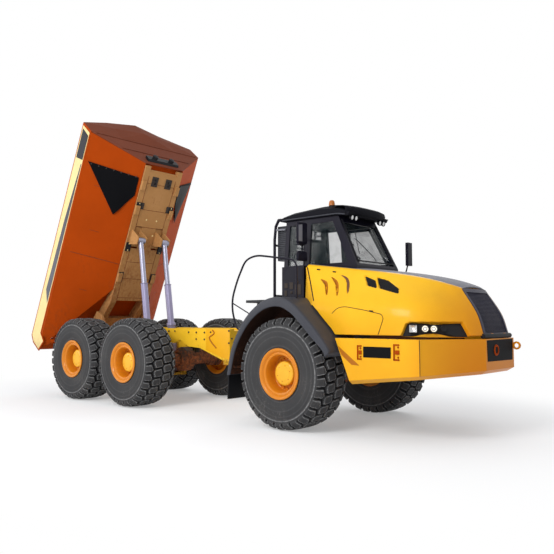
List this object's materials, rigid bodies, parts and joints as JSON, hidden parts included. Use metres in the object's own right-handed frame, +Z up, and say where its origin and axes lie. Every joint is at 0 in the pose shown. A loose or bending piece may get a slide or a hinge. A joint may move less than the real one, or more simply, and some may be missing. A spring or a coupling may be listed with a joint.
{
  "type": "articulated dump truck",
  "caption": "Articulated off-road dump truck, six wheels driven, with a raised tipping body, hinged hood, glazed cab and twin telescopic hoists.",
  "frame": {"origin": "on the ground below the middle of the truck's overall length, on its centre plane", "axes": "+X forward along the truck, +Y to its left, +Z up"},
  "size_m": [11.339, 3.44, 6.7056],
  "materials": {
    "yellow_paint": "gloss paint, worn and dusty",
    "orange_paint": "paint dulled by mud and rust",
    "tan_paint": "dusty paint",
    "muddy_steel": "steel under dried mud",
    "dark_plastic": "matte moulded",
    "cab_black": "satin black paint",
    "tyre_rubber": "dusty tread rubber",
    "flap_rubber": "matte sheet rubber",
    "cylinder_steel": "smooth grey paint",
    "rod_chrome": "polished, hard chromed",
    "window_glass": "clear safety glass",
    "lamp_lens": "clear lens",
    "seat_cloth": "dark woven cloth"
  },
  "bodies": {
    "front_frame": {"front_chassis": "muddy_steel", "front_axle": "muddy_steel", "bumper": "yellow_paint", "engine_block": "dark_plastic", "fender_right": "dark_plastic", "fender_left": "dark_plastic", "cab_shell": "cab_black", "cab_roof": "dark_plastic", "windscreen": "window_glass", "rear_window": "window_glass", "side_window_right": "window_glass", "quarter_window_right": "window_glass", "seat": "seat_cloth", "rear_guard": "cab_black", "air_box": "dark_plastic", "access_left": "cab_black", "cowl_right": "yellow_paint"},
    "hood_body": {"hood": "yellow_paint", "grille": "cab_black", "headlamp_right": "lamp_lens", "headlamp_left": "lamp_lens", "mirror_left": "cab_black"},
    "door_body": {"door_left": "cab_black", "door_glass_left": "window_glass"},
    "hitch_body": {"hitch": "muddy_steel"},
    "rear_frame": {"rear_chassis": "yellow_paint", "mid_axle": "muddy_steel", "rear_axle": "muddy_steel", "bogie_beams": "muddy_steel"},
    "dump_body": {"body_floor": "orange_paint", "body_side_right": "orange_paint", "body_side_left": "orange_paint", "body_front": "muddy_steel", "body_frame": "tan_paint", "body_belly_plate": "tan_paint", "body_rest": "flap_rubber", "body_mudguard_right": "flap_rubber", "body_mudguard_left": "flap_rubber"},
    "steer_barrel_right_body": {"steer_barrel_right": "cylinder_steel"},
    "steer_rod_right_body": {"steer_rod_right": "rod_chrome"},
    "hoist_barrel_right_body": {"hoist_barrel_right": "cylinder_steel"},
    "hoist_stage_right_body": {"hoist_stage_right": "cylinder_steel"},
    "hoist_rod_right_body": {"hoist_rod_right": "rod_chrome"},
    "steer_barrel_left_body": {"steer_barrel_left": "cylinder_steel"},
    "steer_rod_left_body": {"steer_rod_left": "rod_chrome"},
    "hoist_barrel_left_body": {"hoist_barrel_left": "cylinder_steel"},
    "hoist_stage_left_body": {"hoist_stage_left": "cylinder_steel"},
    "hoist_rod_left_body": {"hoist_rod_left": "rod_chrome"},
    "front_right_wheel": {"front_right_tyre": "tyre_rubber", "front_right_rim": "yellow_paint"},
    "front_left_wheel": {"front_left_tyre": "tyre_rubber", "front_left_rim": "yellow_paint"},
    "mid_right_wheel": {"mid_right_tyre": "tyre_rubber", "mid_right_rim": "yellow_paint"},
    "mid_left_wheel": {"mid_left_tyre": "tyre_rubber", "mid_left_rim": "yellow_paint"},
    "rear_right_wheel": {"rear_right_tyre": "tyre_rubber", "rear_right_rim": "yellow_paint"},
    "rear_left_wheel": {"rear_left_tyre": "tyre_rubber", "rear_left_rim": "yellow_paint"}
  },
  "joints": [
    {"name": "steering_hinge", "type": "hinge", "parent": "front_frame", "child": "hitch_body", "pos_m": [1.02946, 0, 1.15], "axis": [0, 0, 1], "range_deg": [-45, 45]},
    {"name": "oscillation_bearing", "type": "hinge", "parent": "hitch_body", "child": "rear_frame", "pos_m": [0.32946, 0, 1.15], "axis": [-1, 0, 0], "range_deg": [-15, 15]},
    {"name": "body_tip", "type": "hinge", "parent": "rear_frame", "child": "dump_body", "pos_m": [-3.97054, 0, 1.45], "axis": [0, -1, 0], "range_deg": [-67, 3]},
    {"name": "hood_lid", "type": "hinge", "parent": "front_frame", "child": "hood_body", "pos_m": [5.49946, 0, 1.57], "axis": [0, 1, 0], "range_deg": [0, 60]},
    {"name": "cab_door", "type": "hinge", "parent": "front_frame", "child": "door_body", "pos_m": [2.32946, 0.69, 2.21], "axis": [0, 0, 1], "range_deg": [0, 80]},
    {"name": "front_right_roll", "type": "hinge", "parent": "front_frame", "child": "front_right_wheel", "pos_m": [2.52946, -1.32, 0.92], "axis": [0, 1, 0], "continuous": true},
    {"name": "front_left_roll", "type": "hinge", "parent": "front_frame", "child": "front_left_wheel", "pos_m": [2.52946, 1.32, 0.92], "axis": [0, 1, 0], "continuous": true},
    {"name": "mid_right_roll", "type": "hinge", "parent": "rear_frame", "child": "mid_right_wheel", "pos_m": [-1.77054, -1.32, 0.92], "axis": [0, 1, 0], "continuous": true},
    {"name": "mid_left_roll", "type": "hinge", "parent": "rear_frame", "child": "mid_left_wheel", "pos_m": [-1.77054, 1.32, 0.92], "axis": [0, 1, 0], "continuous": true},
    {"name": "rear_right_roll", "type": "hinge", "parent": "rear_frame", "child": "rear_right_wheel", "pos_m": [-3.72054, -1.32, 0.92], "axis": [0, 1, 0], "continuous": true},
    {"name": "rear_left_roll", "type": "hinge", "parent": "rear_frame", "child": "rear_left_wheel", "pos_m": [-3.72054, 1.32, 0.92], "axis": [0, 1, 0], "continuous": true},
    {"name": "steer_barrel_swing_right", "type": "hinge", "parent": "front_frame", "child": "steer_barrel_right_body", "pos_m": [2.17946, -0.5, 1.05], "axis": [0, 0, 1], "range_deg": [-3, 3]},
    {"name": "steer_rod_slide_right", "type": "slide", "parent": "steer_barrel_right_body", "child": "steer_rod_right_body", "axis": [-0.9994, 0.0348, 0], "range_m": [-0.325, 0.325]},
    {"name": "hoist_barrel_swing_right", "type": "hinge", "parent": "rear_frame", "child": "hoist_barrel_right_body", "pos_m": [-2.52054, -0.35, 0.65], "axis": [0, -1, 0], "range_deg": [-61.5, 3.5]},
    {"name": "hoist_stage_slide_right", "type": "slide", "parent": "hoist_barrel_right_body", "child": "hoist_stage_right_body", "axis": [-0.1528, 0, 0.9883], "range_m": [-0.92, 0.05]},
    {"name": "hoist_rod_slide_right", "type": "slide", "parent": "hoist_stage_right_body", "child": "hoist_rod_right_body", "axis": [-0.1528, 0, 0.9883], "range_m": [-0.92, 0.05]},
    {"name": "steer_barrel_swing_left", "type": "hinge", "parent": "front_frame", "child": "steer_barrel_left_body", "pos_m": [2.17946, 0.5, 1.05], "axis": [0, 0, 1], "range_deg": [-3, 3]},
    {"name": "steer_rod_slide_left", "type": "slide", "parent": "steer_barrel_left_body", "child": "steer_rod_left_body", "axis": [-0.9994, -0.0348, 0], "range_m": [-0.325, 0.325]},
    {"name": "hoist_barrel_swing_left", "type": "hinge", "parent": "rear_frame", "child": "hoist_barrel_left_body", "pos_m": [-2.52054, 0.35, 0.65], "axis": [0, -1, 0], "range_deg": [-61.5, 3.5]},
    {"name": "hoist_stage_slide_left", "type": "slide", "parent": "hoist_barrel_left_body", "child": "hoist_stage_left_body", "axis": [-0.1528, 0, 0.9883], "range_m": [-0.92, 0.05]},
    {"name": "hoist_rod_slide_left", "type": "slide", "parent": "hoist_stage_left_body", "child": "hoist_rod_left_body", "axis": [-0.1528, 0, 0.9883], "range_m": [-0.92, 0.05]}
  ],
  "couplings": [
    {"joint": "steer_barrel_swing_right", "follows": "steering_hinge", "ratio": -0.0579},
    {"joint": "steer_rod_slide_right", "follows": "steering_hinge", "m_per_rad": -0.409},
    {"joint": "hoist_barrel_swing_right", "follows": "body_tip", "ratio": 0.90913},
    {"joint": "hoist_stage_slide_right", "follows": "body_tip", "m_per_rad": 0.77655},
    {"joint": "hoist_rod_slide_right", "follows": "body_tip", "m_per_rad": 0.77655},
    {"joint": "steer_barrel_swing_left", "follows": "steering_hinge", "ratio": -0.0579},
    {"joint": "steer_rod_slide_left", "follows": "steering_hinge", "m_per_rad": 0.409},
    {"joint": "hoist_barrel_swing_left", "follows": "body_tip", "ratio": 0.90913},
    {"joint": "hoist_stage_slide_left", "follows": "body_tip", "m_per_rad": 0.77655},
    {"joint": "hoist_rod_slide_left", "follows": "body_tip", "m_per_rad": 0.77655}
  ]
}
